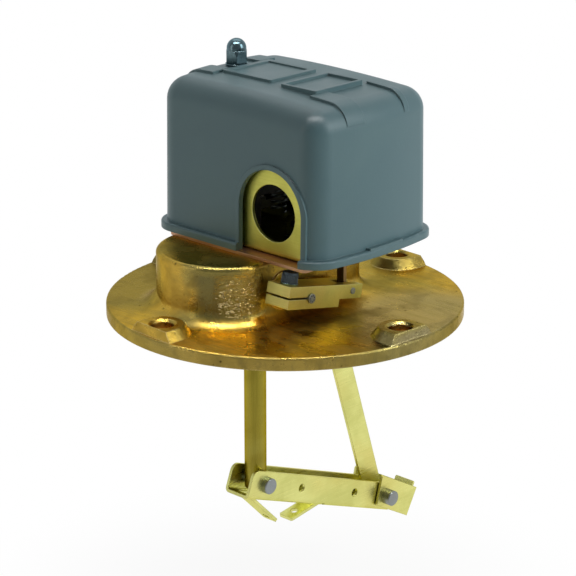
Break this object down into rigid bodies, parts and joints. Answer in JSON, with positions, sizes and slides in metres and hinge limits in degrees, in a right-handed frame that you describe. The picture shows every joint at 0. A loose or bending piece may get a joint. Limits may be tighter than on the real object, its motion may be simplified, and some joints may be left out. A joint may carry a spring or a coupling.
{
  "type": "float level switch",
  "caption": "Flange-mounted float level switch: bronze flange with a hub, sheet-metal float lever below, linkage to a rocker switch under a domed cover with conduit openings.",
  "frame": {"origin": "centre of the flange bolt circle on the tank face of the flange", "axes": "+Z out of the tank up to the cover, +X along the operating shaft towards its outer arm, +Y towards the end of the float lever"},
  "size_m": [0.1778, 0.1844, 0.2678],
  "materials": {
    "cast_bronze": "rough sand casting, machined seats",
    "post_brass": "cast or hot-formed rod, satin",
    "arm_brass": "sawn and milled bar, dull",
    "base_copper": "thin copper flash on sheet steel",
    "cover_paint": "blue-grey machinery enamel, slightly orange-peeled",
    "plated_steel": "yellow chromate zinc plating",
    "lever_brass": "rolled sheet, satin",
    "link_bronze": "dark copper-brown strip",
    "steel": "turned, satin",
    "zinc_steel": "bright zinc plating",
    "dark_steel": "dark blue-grey oxide",
    "insulator": "moulded thermosetting plastic",
    "contact_metal": "silver plated copper",
    "packing": "matt"
  },
  "bodies": {
    "housing": {"flange_casting": "cast_bronze", "hanger_post": "post_brass", "gland_nut": "lever_brass", "packing_ring": "packing", "base_plate": "base_copper", "frame": "plated_steel", "base_screws": "zinc_steel", "ground_screw": "zinc_steel", "cover": "cover_paint", "cover_stud": "steel", "stud_nut": "zinc_steel", "acorn_washer": "zinc_steel", "acorn_nut": "zinc_steel", "rocker_pin": "steel", "contact_block": "insulator", "fixed_contacts": "contact_metal", "terminal_screws": "zinc_steel", "range_spring": "steel"},
    "lever": {"float_lever": "lever_brass", "pivot_pin": "steel", "bar_pin": "steel", "bar_spacers": "lever_brass", "end_bracket": "lever_brass"},
    "bar": {"connecting_bar": "lever_brass"},
    "operating_shaft": {"shaft": "steel", "crank_arm": "lever_brass", "crank_set_screw": "dark_steel", "crank_pin": "steel", "clamp_arm": "arm_brass", "clamp_screw": "dark_steel", "clamp_washer": "zinc_steel", "link_pin": "steel"},
    "link": {"link_strap": "link_bronze"},
    "rocker": {"rocker_arm": "plated_steel", "contact_carrier": "insulator", "contact_bridges": "contact_metal"}
  },
  "joints": [
    {"name": "float_lever_swing", "type": "hinge", "parent": "housing", "child": "lever", "pos_m": [0, -0.0216, -0.0868], "axis": [1, 0, 0], "range_deg": [-3.5, 3.5]},
    {"name": "bar_swing", "type": "hinge", "parent": "lever", "child": "bar", "pos_m": [0, 0.06802, -0.1212], "axis": [1, 0, 0], "range_deg": [-2.66, 2.66]},
    {"name": "shaft_turn", "type": "hinge", "parent": "housing", "child": "operating_shaft", "pos_m": [0, -0.023, 0.02], "axis": [1, 0, 0], "range_deg": [-6.08, 6.08]},
    {"name": "link_swing", "type": "hinge", "parent": "operating_shaft", "child": "link", "pos_m": [0.0315, 0.00699, 0.0164], "axis": [1, 0, 0], "range_deg": [-6.08, 6.08]},
    {"name": "rocker_swing", "type": "hinge", "parent": "housing", "child": "rocker", "pos_m": [0.006, 0.007, 0.0452], "axis": [0, 1, 0], "range_deg": [-7.15, 7.15], "deforming": ["range_spring"]}
  ],
  "couplings": [
    {"joint": "bar_swing", "follows": "float_lever_swing", "ratio": -0.75636},
    {"joint": "shaft_turn", "follows": "float_lever_swing", "ratio": 1.7325},
    {"joint": "link_swing", "follows": "float_lever_swing", "ratio": -1.7325},
    {"joint": "rocker_swing", "follows": "float_lever_swing", "ratio": -2.0374}
  ]
}
